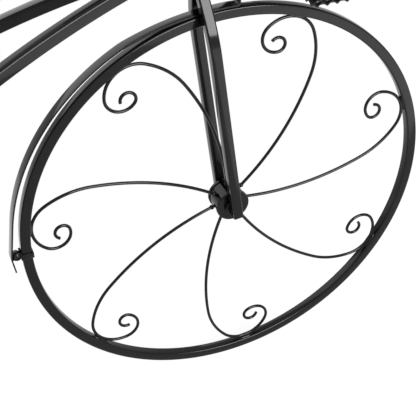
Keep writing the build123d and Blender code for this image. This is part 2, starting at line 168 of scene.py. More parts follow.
class NetSizes(bpy.types.PropertyGroup):
    """Sizes of the expanded steel nets."""

    along: bpy.props.FloatProperty(
        name="Diamond length", description="Long way of a diamond", default=9.6 * MM, unit="LENGTH"
    )
    rise: bpy.props.FloatProperty(
        name="Diamond height", description="Short way of a diamond", default=6.4 * MM, unit="LENGTH"
    )
    strand: bpy.props.FloatProperty(
        name="Strand", description="Width of a strand", default=1.7 * MM, unit="LENGTH"
    )
    sheet: bpy.props.FloatProperty(
        name="Sheet", description="Thickness of the sheet", default=0.9 * MM, unit="LENGTH"
    )
    tilt: bpy.props.FloatProperty(
        name="Tilt", description="Twist of each strand", default=math.radians(28), subtype="ANGLE"
    )


class FinishColours(bpy.types.PropertyGroup):
    """Colours of the finishes."""

    coat: bpy.props.FloatVectorProperty(
        name="Powder coat",
        description="Colour of the coat",
        default=(0.0025, 0.0025, 0.0026),
        subtype="COLOR",
    )
    zinc: bpy.props.FloatVectorProperty(
        name="Zinc", description="Colour of the plated parts", default=(0.6, 0.61, 0.62), subtype="COLOR"
    )
    rubber: bpy.props.FloatVectorProperty(
        name="Rubber", description="Colour of the grips", default=(0.02, 0.02, 0.021), subtype="COLOR"
    )
    floor: bpy.props.FloatVectorProperty(
        name="Floor", description="Colour of the studio floor", default=(0.9, 0.9, 0.9), subtype="COLOR"
    )


# Node trees


class Socket:
    """An output of a node that can be added, multiplied and divided like a number."""

    def __init__(self, tree, socket):
        self.tree = tree
        self.socket = socket

    def __add__(self, other):
        return self.tree.maths("ADD", self, other)

    def __radd__(self, other):
        return self.tree.maths("ADD", other, self)

    def __sub__(self, other):
        return self.tree.maths("SUBTRACT", self, other)

    def __rsub__(self, other):
        return self.tree.maths("SUBTRACT", other, self)

    def __mul__(self, other):
        return self.tree.maths("MULTIPLY", self, other)

    def __rmul__(self, other):
        return self.tree.maths("MULTIPLY", other, self)

    def __truediv__(self, other):
        return self.tree.maths("DIVIDE", self, other)

    def __mod__(self, other):
        return self.tree.maths("FLOORED_MODULO", self, other)


class Placed:
    """A node that was added to a tree."""

    def __init__(self, tree, node):
        self.tree = tree
        self.node = node

    def out(self, name):
        return Socket(self.tree, self.node.outputs[name])


class Tree:
    """A node tree that nodes are added to with their settings and their sockets."""

    def __init__(self, group):
        self.group = group

    def add(self, kind, settings=None, sockets=None):
        """Adds a node: its settings first, then the values or links of its sockets."""
        node = self.group.nodes.new(kind)
        for key, value in (settings or {}).items():
            setattr(node, key, value)
        for key, value in (sockets or {}).items():
            if isinstance(value, Socket):
                self.link(value, node.inputs[key])
            elif isinstance(value, list):
                for part in value:
                    self.link(part, node.inputs[key])
            else:
                node.inputs[key].default_value = value
        return Placed(self, node)

    def link(self, source, target):
        self.group.links.new(source.socket, target)

    def maths(self, operation, *values):
        return self.add("ShaderNodeMath", {"operation": operation}, dict(enumerate(values))).out(0)


def shape_tree(name, inputs):
    """A geometry tree with named inputs, its finish among them, and its group input."""
    group = bpy.data.node_groups.new(name, "GeometryNodeTree")
    group.interface.new_socket("Geometry", in_out="INPUT", socket_type="NodeSocketGeometry")
    for label, kind in [*inputs, ("Finish", "NodeSocketMaterial")]:
        group.interface.new_socket(label, in_out="INPUT", socket_type=kind)
    group.interface.new_socket("Geometry", in_out="OUTPUT", socket_type="NodeSocketGeometry")
    tree = Tree(group)
    return tree, tree.add("NodeGroupInput")


def close_tree(tree, geometry, given, smooth=True):
    """Ends a geometry tree: one mesh with its finish, and smooth where its surface is round."""
    solid = tree.add("GeometryNodeRealizeInstances", None, {"Geometry": geometry}).out("Geometry")
    if smooth:
        solid = tree.add("GeometryNodeSetShadeSmooth", None, {"Geometry": solid}).out("Geometry")
    finish = {"Geometry": solid, "Material": given.out("Finish")}
    ended = tree.add("GeometryNodeSetMaterial", None, finish).out("Geometry")
    tree.add("NodeGroupOutput", None, {"Geometry": ended})
    return tree.group


NUMBER = "NodeSocketFloat"
WHOLE = "NodeSocketInt"
ARROW = "NodeSocketVector"

TUBE_CORNER_POINTS = 5
WIRE_SIDES = 12
WELD_DETAIL = 3
# Half sizes of a spoke's two welds, as shares of its wire's thickness
HUB_WELD = (0.7, 0.8, 0.8)
RIM_WELD = (0.6, 1.2, 3.2)
# A strand is longer than its side of the diamond by this share of its width
STRAND_OVERLAP = 0.9


def tube_tree():
    """A tube with rounded corners along a path."""
    inputs = [("Width", NUMBER), ("Thickness", NUMBER), ("Corner", NUMBER), ("Normal", ARROW)]
    tree, given = shape_tree("tube_along_path", inputs)
    facing = {"Curve": given.out("Geometry"), "Normal": given.out("Normal")}
    path = tree.add("GeometryNodeSetCurveNormal", {"mode": "FREE"}, facing).out("Curve")
    sides = {"Width": given.out("Width"), "Height": given.out("Thickness")}
    outline = tree.add("GeometryNodeCurvePrimitiveQuadrilateral", None, sides).out("Curve")
    corners = {"Curve": outline, "Radius": given.out("Corner"), "Count": TUBE_CORNER_POINTS}
    corners["Limit Radius"] = True
    rounded = tree.add("GeometryNodeFilletCurve", {"mode": "POLY"}, corners).out("Curve")
    swept = {"Curve": path, "Profile Curve": rounded, "Fill Caps": True}
    tube = tree.add("GeometryNodeCurveToMesh", None, swept).out("Mesh")
    return close_tree(tree, tube, given)


def weld_bead(tree, place, wire, shares):
    """A flattened lump of weld."""
    shape = {"Radius": 1.0, "Subdivisions": WELD_DETAIL}
    lump = tree.add("GeometryNodeMeshIcoSphere", None, shape).out("Mesh")
    halves = {axis: wire * share for axis, share in zip("XYZ", shares)}
    size = tree.add("ShaderNodeCombineXYZ", None, halves).out("Vector")
    moved = {"Geometry": lump, "Translation": place, "Scale": size}
    return tree.add("GeometryNodeTransform", None, moved).out("Geometry")


def spoke_tree():
    """Round wire along a path with its two welds, repeated round a wheel's axle."""
    numbers = [("Wire", NUMBER), ("Count", WHOLE), ("Phase", NUMBER)]
    places = [("Centre", ARROW), ("Hub weld", ARROW), ("Rim weld", ARROW)]
    tree, given = shape_tree("scroll_spokes", numbers + places)
    thick = given.out("Wire")
    round_wire = {"Resolution": WIRE_SIDES, "Radius": thick / 2}
    ring = tree.add("GeometryNodeCurvePrimitiveCircle", {"mode": "RADIUS"}, round_wire).out("Curve")
    swept = {"Curve": given.out("Geometry"), "Profile Curve": ring, "Fill Caps": True}
    wire = tree.add("GeometryNodeCurveToMesh", None, swept).out("Mesh")
    at_hub = weld_bead(tree, given.out("Hub weld"), thick, HUB_WELD)
    at_rim = weld_bead(tree, given.out("Rim weld"), thick, RIM_WELD)
    spoke = tree.add("GeometryNodeJoinGeometry", None, {"Geometry": [wire, at_hub, at_rim]}).out("Geometry")
    centres = {"Count": given.out("Count"), "Position": given.out("Centre")}
    points = tree.add("GeometryNodePoints", None, centres).out("Geometry")
    index = tree.add("GeometryNodeInputIndex").out("Index")
    angle = given.out("Phase") + index * math.tau / given.out("Count")
    turn = tree.add("ShaderNodeCombineXYZ", None, {"Y": angle * -1}).out("Vector")
    turned = {"Points": points, "Instance": spoke, "Rotation": turn}
    spokes = tree.add("GeometryNodeInstanceOnPoints", None, turned).out("Instances")
    return close_tree(tree, spokes, given)


def net_tree():
    """Expanded steel: short twisted strands that meet in diamonds over a sheet that widens upwards."""
    labels = ("Low width", "High width", "Height", "Along", "Rise", "Strand", "Sheet", "Tilt")
    tree, given = shape_tree("expanded_net", [(label, NUMBER) for label in labels])
    width = (given.out("Low width") + given.out("High width")) / 2
    height = given.out("Height")
    # Two columns and two rows of strands make a diamond
    columns = tree.maths("ROUND", width / given.out("Along") * 2)
    rows = tree.maths("ROUND", height / given.out("Rise") * 2)
    step_x = width / columns
    step_y = height / rows
    spacing = {"Size X": width - step_x, "Size Y": height - step_y}
    spacing |= {"Vertices X": columns, "Vertices Y": rows}
    grid = tree.add("GeometryNodeMeshGrid", None, spacing).out("Mesh")
    place = tree.add("GeometryNodeInputPosition").out("Position")
    split = tree.add("ShaderNodeSeparateXYZ", None, {"Vector": place})
    slope = (given.out("High width") - given.out("Low width")) / (width * height)
    spread = split.out("X") * (split.out("Y") * slope + 1)
    moved = tree.add("ShaderNodeCombineXYZ", None, {"X": spread, "Y": split.out("Y")}).out("Vector")
    spreading = {"Geometry": grid, "Position": moved}
    points = tree.add("GeometryNodeSetPosition", None, spreading).out("Geometry")
    length = tree.maths("SQRT", step_x * step_x + step_y * step_y)
    thick = given.out("Strand")
    sides = {"X": length + thick * STRAND_OVERLAP, "Y": thick, "Z": given.out("Sheet")}
    size = tree.add("ShaderNodeCombineXYZ", None, sides).out("Vector")
    strand = tree.add("GeometryNodeMeshCube", None, {"Size": size}).out("Mesh")
    index = tree.add("GeometryNodeInputIndex").out("Index")
    column = tree.maths("FLOOR", index / rows)
    way = (column + index - column * rows) % 2 * 2 - 1
    slant = tree.maths("ARCTAN2", step_y, step_x)
    turn = tree.add("ShaderNodeCombineXYZ", None, {"X": given.out("Tilt"), "Z": slant * way}).out("Vector")
    turned = {"Points": points, "Instance": strand, "Rotation": turn}
    strands = tree.add("GeometryNodeInstanceOnPoints", None, turned).out("Instances")
    return close_tree(tree, strands, given, smooth=False)


def tree_of(name, make):
    """The node tree of that name, made once."""
    return bpy.data.node_groups.get(name) or make()


def linked(name, data):
    """An object in the scene with that mesh, curve, lamp or camera."""
    thing = bpy.data.objects.new(name, data)
    bpy.context.collection.objects.link(thing)
    return thing


def result_of(carrier, name):
    """What a carrier's modifiers make of it, as a plain mesh without a material."""
    graph = bpy.context.evaluated_depsgraph_get()
    mesh = bpy.data.meshes.new_from_object(carrier.evaluated_get(graph), depsgraph=graph)
    bpy.data.objects.remove(carrier)
    mesh.name = name
    mesh.materials.clear()
    return mesh


def run_tree(name, data, group, values, flat_faced=False):
    """Runs a geometry tree on a curve or mesh. Broad flat faces keep flat shading if asked for."""
    carrier = linked(name, data)
    modifier = carrier.modifiers.new(name, "NODES")
    modifier.node_group = group
    for item in group.interface.items_tree:
        if item.in_out == "INPUT" and item.name in values:
            modifier[item.identifier] = values[item.name]
    if flat_faced:
        carrier.modifiers.new("flat_faces", "WEIGHTED_NORMAL")
    carrier.update_tag()
    mesh = result_of(carrier, name)
    mesh.materials.append(values["Finish"])
    mesh.polygons.foreach_set("material_index", [0] * len(mesh.polygons))
    return mesh


# Paths


COARSEST_TURN = math.radians(5)
LONGEST_STEP = 3 * MM


def arc(centre, radius, start, turn):
    """Points along an arc in a plane."""
    step = min(COARSEST_TURN, LONGEST_STEP / radius)
    count = max(2, math.ceil(abs(turn) / step))
    angles = [start + turn * i / count for i in range(count + 1)]
    return [centre + Vector((math.cos(angle), math.sin(angle))) * radius for angle in angles]


class Stroke:
    """A line in a plane, drawn by its lengths and bends."""

    def __init__(self, start, heading):
        self.points = [start]
        self.heading = heading

    def straight(self, length):
        self.points.append(self.points[-1] + self.heading * length)
        return self

    def bend(self, radius, turn):
        """Turns left by an arc, or right where the turn is negative."""
        side = 1 if turn > 0 else -1
        left = Vector((-self.heading.y, self.heading.x)) * side
        centre = self.points[-1] + left * radius
        start = math.atan2(-left.y, -left.x)
        self.points += arc(centre, radius, start, turn)[1:]
        cosine, sine = math.cos(turn), math.sin(turn)
        across, up = self.heading
        self.heading = Vector((across * cosine - up * sine, across * sine + up * cosine))
        return self


def filleted(corners, radius):
    """Points of a line through corners, with an arc at each inner corner."""
    corners = [Vector(corner) for corner in corners]
    points = [corners[0]]
    for before, corner, after in zip(corners, corners[1:], corners[2:]):
        heading = (corner - before).normalized()
        leaving = (after - corner).normalized()
        turn = -heading.angle_signed(leaving)
        reach = radius * math.tan(abs(turn) / 2)
        stroke = Stroke(corner - heading * reach, heading).bend(radius, turn)
        points += stroke.points
    return points + [corners[-1]]


def poly_curve(name, points, cyclic=False):
    """A curve through points in space."""
    data = bpy.data.curves.new(name, "CURVE")
    data.dimensions = "3D"
    spline = data.splines.new("POLY")
    spline.points.add(len(points) - 1)
    for knot, point in zip(spline.points, points):
        knot.co = (*point, 1)
    spline.use_cyclic_u = cyclic
    return data


# Meshes

# Corners of a mesh that lie closer than this are one
MERGE_GAP = MM / 100
LATHE_SIDES = 48
# Faces that meet at less than this are one flat face, or show no edge, or get no rounding
FLAT_ANGLE = math.radians(0.5)
SHARP_ANGLE = math.radians(32)
ROUNDED_ANGLE = math.radians(35)
ROUNDING_STEPS = 3


def piece_from(mesh, name, body, slot_name, node):
    """Puts a finished mesh in the scene on its body, in place of a CAD node."""
    piece = linked(name, mesh)
    if not mesh.materials:
        mesh.materials.append(finish_of(slot_name))
    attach(piece, body)
    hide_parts(node)


def tube(name, points, sizes, normal, cyclic=False):
    """A tube with rounded corners through points."""
    width, thickness, corner = sizes
    values = {"Width": width, "Thickness": thickness, "Corner": corner, "Normal": normal}
    values["Finish"] = finish_of("black_coat")
    group = tree_of("tube_along_path", tube_tree)
    return run_tree(name, poly_curve(name, points, cyclic), group, values, flat_faced=True)


def cut_flat(mesh, point, normal):
    """Cuts off what lies on the normal's side of a plane and closes the cut."""
    cut = bmesh.new()
    cut.from_mesh(mesh)
    bmesh.ops.bisect_plane(
        cut,
        geom=cut.verts[:] + cut.edges[:] + cut.faces[:],
        plane_co=point,
        plane_no=normal,
        clear_outer=True,
    )
    bmesh.ops.holes_fill(cut, edges=[edge for edge in cut.edges if edge.is_boundary])
    bmesh.ops.recalc_face_normals(cut, faces=cut.faces[:])
    cut.to_mesh(mesh)
    cut.free()


def lathe(name, profile, place, way, sides=LATHE_SIDES):
    """Turns a closed profile of (radius, length) points round an axis that leads a way from a place."""
    turned = bmesh.new()
    stand = Matrix.Translation(place) @ UP.rotation_difference(way).to_matrix().to_4x4()
    rings = []
    for radius, length in profile:
        ring = []
        for i in range(sides):
            angle = math.tau * i / sides
            spot = Vector((radius * math.cos(angle), radius * math.sin(angle), length))
            ring.append(turned.verts.new(stand @ spot))
        rings.append(ring)
    for low, high in zip(rings, rings[1:] + rings[:1]):
        for i in range(sides):
            j = (i + 1) % sides
            turned.faces.new((low[i], low[j], high[j], high[i]))
    bmesh.ops.remove_doubles(turned, verts=turned.verts[:], dist=MERGE_GAP)
    bmesh.ops.recalc_face_normals(turned, faces=turned.faces[:])
    mesh = bpy.data.meshes.new(name)
    turned.to_mesh(mesh)
    turned.free()
    mesh.shade_smooth()
    mesh.set_sharp_from_angle(angle=SHARP_ANGLE)
    return mesh


def joined(name, meshes):
    """One mesh of several."""
    whole = bmesh.new()
    for mesh in meshes:
        whole.from_mesh(mesh)
    result = bpy.data.meshes.new(name)
    whole.to_mesh(result)
    whole.free()
    result.materials.append(meshes[0].materials[0])
    return result


def softened(node, width):
    """A copy of a CAD node with its corners rounded."""
    source = frame["nodes"][node]
    merged = bmesh.new()
    merged.from_mesh(source.data)
    bmesh.ops.remove_doubles(merged, verts=merged.verts[:], dist=MERGE_GAP)
    bmesh.ops.dissolve_limit(merged, angle_limit=FLAT_ANGLE, verts=merged.verts[:], edges=merged.edges[:])
    mesh = bpy.data.meshes.new(node + "_soft")
    merged.to_mesh(mesh)
    merged.free()
    mesh.transform(source.matrix_world)
    carrier = linked(node, mesh)
    bevel = carrier.modifiers.new("rounding", "BEVEL")
    bevel.width = width
    bevel.segments = ROUNDING_STEPS
    bevel.limit_method = "ANGLE"
    bevel.angle_limit = ROUNDED_ANGLE
    bevel.harden_normals = True
    rounded = result_of(carrier, node + "_soft")
    rounded.shade_smooth()
    return rounded


# Finishes

# The dark patches of a finish, as a share of its colour
DARK_SHARE = 0.8
# How much the haze changes the coat's roughness
COAT_HAZE = 0.06
GRAIN_DEPTH = MM / 5
PEBBLE_DEPTH = MM / 4
# The coat's roughness, peel and shine on the tubes, the nets and the clip's screw
COATS = {
    "black_coat": (0.1, 0.02, 0.15),
    "net_black": (0.3, 0.1, 0.17),
    "black_screw": (0.06, 0.01, 0.25),
}


def noise(tree, place, scale, detail=3.0):
    """Noise in metres of the object."""
    sockets = {"Vector": place, "Scale": scale, "Detail": detail}
    return tree.add("ShaderNodeTexNoise", None, sockets).out("Fac")


def patchy(name, colour, constants, scale, pale_share, smoothest, spread):
    """A material whose colour and roughness vary in patches, with its tree, shader and place."""
    material = bpy.data.materials.new(name)
    material.use_nodes = True
    tree = Tree(material.node_tree)
    shader = material.node_tree.nodes["Principled BSDF"]
    for key, value in constants.items():
        shader.inputs[key].default_value = value
    place = tree.add("ShaderNodeTexCoord").out("Object")
    patches = noise(tree, place, scale)
    dark = tuple(DARK_SHARE * part for part in colour) + (1,)
    pale = tuple(min(1.0, pale_share * part) for part in colour) + (1,)
    mixed = tree.add("ShaderNodeMix", {"data_type": "RGBA"}, {0: patches, 6: dark, 7: pale}).out(2)
    tree.link(mixed, shader.inputs["Base Color"])
    tree.link(patches * spread + smoothest, shader.inputs["Roughness"])
    return material, tree, shader, place


def relief(tree, shader, height, strength, depth):
    """Fine relief on a surface."""
    sockets = {"Height": height, "Strength": strength, "Distance": depth}
    bump = tree.add("ShaderNodeBump", None, sockets).out("Normal")
    tree.link(bump, shader.inputs["Normal"])


def powder_coat(name, colours, roughness, peel, shine):
    """Black powder coat with the faint dimples of its melt and a thin haze."""
    material, tree, shader, place = patchy(
        name,
        colours.coat,
        {"Specular IOR Level": shine},
        scale=35.0,
        pale_share=1.5,
        smoothest=roughness - COAT_HAZE / 2,
        spread=COAT_HAZE,
    )
    dimples = noise(tree, place, scale=900.0, detail=2.0)
    relief(tree, shader, dimples, peel, GRAIN_DEPTH)
    return material


def zinc_plate(name, colours):
    """Bright zinc with faint patches and fine grain."""
    material, tree, shader, place = patchy(
        name, colours.zinc, {"Metallic": 1.0}, scale=120.0, pale_share=1.15, smoothest=0.22, spread=0.2
    )
    grain = noise(tree, place, scale=1400.0, detail=2.0)
    relief(tree, shader, grain, strength=0.08, depth=GRAIN_DEPTH)
    return material


def grip_rubber(name, colours):
    """Matt rubber with fine pebbling."""
    material, tree, shader, place = patchy(
        name, colours.rubber, {}, scale=60.0, pale_share=1.6, smoothest=0.55, spread=0.15
    )
    pebbles = tree.add("ShaderNodeTexVoronoi", None, {"Vector": place, "Scale": 900.0}).out("Distance")
    relief(tree, shader, pebbles, strength=0.25, depth=PEBBLE_DEPTH)
    return material


def finish_of(slot_name):
    """The material of one of the record's slots, made once."""
    name = "finish_" + slot_name
    made = bpy.data.materials.get(name)
    if made:
        return made
    colours = bpy.context.scene.stand_colours
    if slot_name == "zinc_steel":
        return zinc_plate(name, colours)
    if slot_name == "grip_rubber":
        return grip_rubber(name, colours)
    return powder_coat(name, colours, *COATS[slot_name])


# Pieces


class RimOperator(bpy.types.Operator):
    """Makes the three rims of rolled square tube"""

    bl_idname = "stand.rims"
    bl_label = "Make the rims"

    def execute(self, context):
        sizes = context.scene.stand_wheels
        for wheel, body in WHEELS:
            node = wheel + "_rim"
            centre = middle(node)
            radius = extent(node).z / 2 - sizes.tube / 2
            ring = arc(Vector((0, 0)), radius, 0, math.tau)[:-1]
            points = [centre + Vector((x, 0, z)) for x, z in ring]
            section = (sizes.tube, sizes.tube, sizes.corner)
            mesh = tube(node + "_tube", points, section, ACROSS, cyclic=True)
            piece_from(mesh, node + "_tube", body, "black_coat", node)
        return {"FINISHED"}


# The scroll spoke's arcs, from where it touches the rim: a radius as a share of the rim's inner
# radius, and a turn. Two lead back to the sweep that ends in the hub, the others curl inwards.
LEAD_ARCS = ((0.14, math.radians(53.5)), (0.39, math.radians(34.8)))
SWEEP_SHARE = 1.27
SCROLL_ARCS = ((0.147, math.radians(60)), (0.077, math.radians(141)))
HOOK_SHARE = 0.037


def scroll_points(inner_radius, hub_radius, wire, hook_turn):
    """A spoke of tangent arcs from the hub to the rim's inner face and back into the scroll."""
    contact = Vector((inner_radius - wire / 2, 0))
    inwards = Stroke(contact, Vector((0, -1)))
    for share, turn in LEAD_ARCS:
        inwards.bend(share * inner_radius, -turn)
    sweep = SWEEP_SHARE * inner_radius
    start = inwards.points[-1]
    centre = start + Vector((inwards.heading.y, -inwards.heading.x)) * sweep
    reach = centre.length
    cosine = (reach**2 + sweep**2 - hub_radius**2) / (2 * reach * sweep)
    inwards.bend(sweep, math.acos(cosine) - (start - centre).angle(-centre))
    outwards = Stroke(contact, Vector((0, 1)))
    for share, turn in SCROLL_ARCS:
        outwards.bend(share * inner_radius, turn)
    outwards.bend(HOOK_SHARE * inner_radius, hook_turn)
    return inwards.points[::-1] + outwards.points[1:]


class SpokeOperator(bpy.types.Operator):
    """Makes the scroll spokes of round wire"""

    bl_idname = "stand.spokes"
    bl_label = "Make the spokes"

    def execute(self, context):
        sizes = context.scene.stand_wheels
        group = tree_of("scroll_spokes", spoke_tree)
        for wheel, body in WHEELS:
            front = wheel == "front"
            rim = wheel + "_rim"
            inner = extent(rim).z / 2 - sizes.tube
            flat = scroll_points(inner, FLANGE_RADIUS - sizes.wire / 2, sizes.wire, sizes.hook)
            at_hub = flat[0] + (flat[1] - flat[0]).normalized() * sizes.wire
            data = poly_curve(wheel + "_scroll", [Vector((x, 0, z)) for x, z in flat])
            values = {
                "Wire": sizes.wire,
                "Count": sizes.front_count if front else sizes.rear_count,
                "Phase": sizes.front_phase if front else sizes.rear_phase,
                "Centre": middle(rim),
                "Hub weld": (at_hub.x, 0, at_hub.y),
                "Rim weld": (inner, 0, 0),
                "Finish": finish_of("black_coat"),
            }
            mesh = run_tree(wheel + "_scrolls", data, group, values)
            piece_from(mesh, wheel + "_scrolls", body, "black_coat", wheel + "_spokes")
        return {"FINISHED"}


# A hub: a barrel between two flanges, with a boss on each face, and a bore for its axle
FLANGE_RADIUS = 17 * MM
FLANGE_THICK = 3.5 * MM
FLANGE_EDGE = 1.2 * MM
BARREL_RADIUS = 16 * MM
BOSS_RADIUS = 9 * MM
BOSS_EDGE = 0.8 * MM
HUB_WIDTH = 25 * MM
BORE_GAP = MM / 20


def hub_mesh(name, centre, half, bore):
    """A turned hub about its axle, with softened edges."""
    face = HUB_WIDTH / 2
    inside = face - FLANGE_THICK
    boss = filleted([(bore, 0), (bore, half), (BOSS_RADIUS, half), (BOSS_RADIUS, face)], BOSS_EDGE)
    flange = filleted([(BOSS_RADIUS, face), (FLANGE_RADIUS, face), (FLANGE_RADIUS, inside)], FLANGE_EDGE)
    end = boss + flange[1:] + [Vector((BARREL_RADIUS, inside)), Vector((BARREL_RADIUS, 0))]
    profile = end + [Vector((radius, -length)) for radius, length in end[-2:0:-1]]
    return lathe(name, profile, centre, ACROSS)


class HubOperator(bpy.types.Operator):
    """Makes the three hubs"""

    bl_idname = "stand.hubs"
    bl_label = "Make the hubs"

    def execute(self, context):
        for wheel, body in WHEELS:
            node = wheel + "_hub"
            axle = "front_axle" if wheel == "front" else "rear_axle"
            bore = extent(axle).z / 2 + BORE_GAP
            mesh = hub_mesh(node + "_spool", middle(node), extent(node).y / 2, bore)
            piece_from(mesh, node + "_spool", body, "black_coat", node)
        return {"FINISHED"}


def steering_frame(context):
    """The steering axis and the way square to it, to the front."""
    rake = context.scene.stand_frame.rake
    axis = Vector((-math.sin(rake), 0, math.cos(rake)))
    return axis, Vector((math.cos(rake), 0, math.sin(rake)))


# A leg ends this far below the axle. It runs on into the crown, which hides its slanting end
LEG_TAIL = 6.5 * MM
LEG_RUN_IN = 1.8 * MM
LEG_BEND_RADIUS = 110 * MM
CROWN_HEIGHT = 236 * MM


class ForkOperator(bpy.types.Operator):
    """Makes the two fork legs"""

    bl_idname = "stand.fork"
    bl_label = "Make the fork legs"

    def execute(self, context):
        sizes = context.scene.stand_frame
        side = context.scene.stand_wheels.tube
        corner = context.scene.stand_wheels.corner
        axis, ahead = steering_frame(context)
        centre = middle("front_rim")
        leg_y = high_corner("fork_leg_left").y - side / 2
        top = CROWN_HEIGHT + LEG_RUN_IN
        lean = (top - sizes.fork_bend) * math.tan(sizes.fork_lean)
        corners = [(leg_y, -LEG_TAIL), (leg_y, sizes.fork_bend), (leg_y - lean, top)]
        flat = filleted(corners, LEG_BEND_RADIUS)
        for name, sign in (("fork_leg_left", 1), ("fork_leg_right", -1)):
            points = [centre + ACROSS * sign * y + axis * s for y, s in flat]
            mesh = tube(name + "_tube", points, (side, side, corner), ahead)
            piece_from(mesh, name + "_tube", "steering", "black_coat", name)
        return {"FINISHED"}


# A backbone starts in the head tube's wall and ends in the axle tube's wall
HEAD_RUN_IN = 7.5 * MM
AXLE_RUN_IN = 5.6 * MM
BACKBONE_SIDE = 11.4 * MM
# Where the backbones meet, each stays this far from the middle
MIDDLE_GAP = MM / 40


class BackboneOperator(bpy.types.Operator):
    """Makes the two backbones from the steering head to the rear axle"""

    bl_idname = "stand.backbones"
    bl_label = "Make the backbones"

    def execute(self, context):
        sizes = context.scene.stand_frame
        corner = context.scene.stand_wheels.corner
        centre = middle("front_rim")
        rear = middle("rear_axle")
        apex_x = centre.x - sizes.head_height * math.tan(sizes.rake)
        start = Vector((0, centre.z + sizes.head_height))
        end = Vector(((apex_x - rear.x) / math.cos(sizes.splay), rear.z))
        heading = Vector((math.cos(sizes.drop), -math.sin(sizes.drop)))
        down = Vector((heading.y, -heading.x))
        chord = end - start
        radius = chord.length_squared / (2 * chord.dot(down))
        turn = -2 * math.acos(min(1, heading.dot(chord.normalized())))
        flat = Stroke(start, heading).bend(radius, turn).points
        begun = HEAD_RUN_IN / (flat[1] - flat[0]).length
        flat[0] = flat[0].lerp(flat[1], begun)
        ended = AXLE_RUN_IN / (flat[-1] - flat[-2]).length
        flat[-1] = flat[-1].lerp(flat[-2], ended)
        for name, sign in (("left_backbone", 1), ("right_backbone", -1)):
            back = Vector((-math.cos(sizes.splay), sign * math.sin(sizes.splay), 0))
            points = [Vector((apex_x, 0, 0)) + back * x + UP * z for x, z in flat]
            section = (BACKBONE_SIDE, BACKBONE_SIDE, corner)
            mesh = tube(name + "_tube", points, section, back.cross(UP))
            cut_flat(mesh, Vector((0, sign * MIDDLE_GAP, 0)), ACROSS * -sign)
            piece_from(mesh, name + "_tube", "frame", "black_coat", name)
        return {"FINISHED"}


# The guard strip: a tab turned up in front, three arcs over the tread, a straight and a bent tail
GUARD_GAP = 0.9 * MM
GUARD_WIDTH = 10.4 * MM
GUARD_THICK = 1.5 * MM
GUARD_CORNER = GUARD_THICK / 8
# The strip turns up this far round the wheel from its foremost point
GUARD_START = math.radians(88.8)
GUARD_BENDS = (
    (262 * MM, math.radians(22.9)),
    (60 * MM, math.radians(6.5)),
    (214 * MM, math.radians(54.1)),
)
GUARD_STRAIGHT = 34 * MM
GUARD_TAIL = (10 * MM, math.radians(16.5), 15 * MM)
GUARD_TAB_BEND = 2 * MM


class GuardOperator(bpy.types.Operator):
    """Makes the guard strip over the front wheel"""

    bl_idname = "stand.guard"
    bl_label = "Make the guard strip"

    def execute(self, context):
        centre = middle("front_rim")
        radius = extent("front_rim").z / 2 + GUARD_GAP + GUARD_THICK / 2
        out = Vector((math.cos(GUARD_START), math.sin(GUARD_START)))
        heading = Vector((-out.y, out.x))
        back = Stroke(out * radius, heading)
        for bend_radius, turn in GUARD_BENDS:
            back.bend(bend_radius, turn)
        tail_radius, tail_turn, tail = GUARD_TAIL
        back.straight(GUARD_STRAIGHT).bend(tail_radius, tail_turn).straight(tail)
        front = Stroke(out * radius, -heading).bend(GUARD_TAB_BEND, math.pi - GUARD_START)
        front.straight(high_corner("guard_strip").z - centre.z - front.points[-1].y)
        flat = front.points[::-1] + back.points[1:]
        points = [centre + Vector((x, 0, z)) for x, z in flat]
        mesh = tube("guard_strip_flat", points, (GUARD_WIDTH, GUARD_THICK, GUARD_CORNER), ACROSS)
        piece_from(mesh, "guard_strip_flat", "steering", "black_coat", "guard_strip")
        return {"FINISHED"}


# The handlebar in its own plane: to the front, and to the left
BAR_FLAT = 55 * MM
BAR_HALF = 150 * MM
BAR_BACK = 25 * MM
BAR_END_BACK = 135 * MM
BAR_END_HALF = 132 * MM
BAR_BEND = 32 * MM
# A grip has a lip at each end, a narrow neck beside each lip and a swell in the middle
GRIP_LENGTH = 80 * MM
GRIP_LIP_RADIUS = 9.5 * MM
GRIP_LIP = 3 * MM
GRIP_NECK_RADIUS = 8.6 * MM
GRIP_NECK = 6 * MM
GRIP_SWELL_RADIUS = 9.3 * MM
GRIP_EDGE = MM
# Rubber over the bar's end, and how far the bar's corners press into the sleeve
GRIP_CAP = 3 * MM
GRIP_PRESS = MM


def bar_end(sign):
    """The last corner and the end of the handlebar on one side."""
    return Vector((-BAR_BACK, sign * BAR_HALF)), Vector((-BAR_END_BACK, sign * BAR_END_HALF))


def grip_mesh(name, tip, out, side):
    """A closed sleeve over the end of the bar, with rounded edges."""
    half = GRIP_LENGTH / 2
    inner = side / 2 * math.sqrt(2) - GRIP_PRESS
    corners = [
        (0, 0),
        (GRIP_LIP_RADIUS, 0),
        (GRIP_LIP_RADIUS, -GRIP_LIP),
        (GRIP_NECK_RADIUS, -GRIP_NECK),
        (GRIP_SWELL_RADIUS, -half),
        (GRIP_NECK_RADIUS, GRIP_NECK - GRIP_LENGTH),
        (GRIP_LIP_RADIUS, GRIP_LIP - GRIP_LENGTH),
        (GRIP_LIP_RADIUS, -GRIP_LENGTH),
        (inner, -GRIP_LENGTH),
        (inner, -half),
        (0, -half),
    ]
    return lathe(name, filleted(corners, GRIP_EDGE), tip, out)


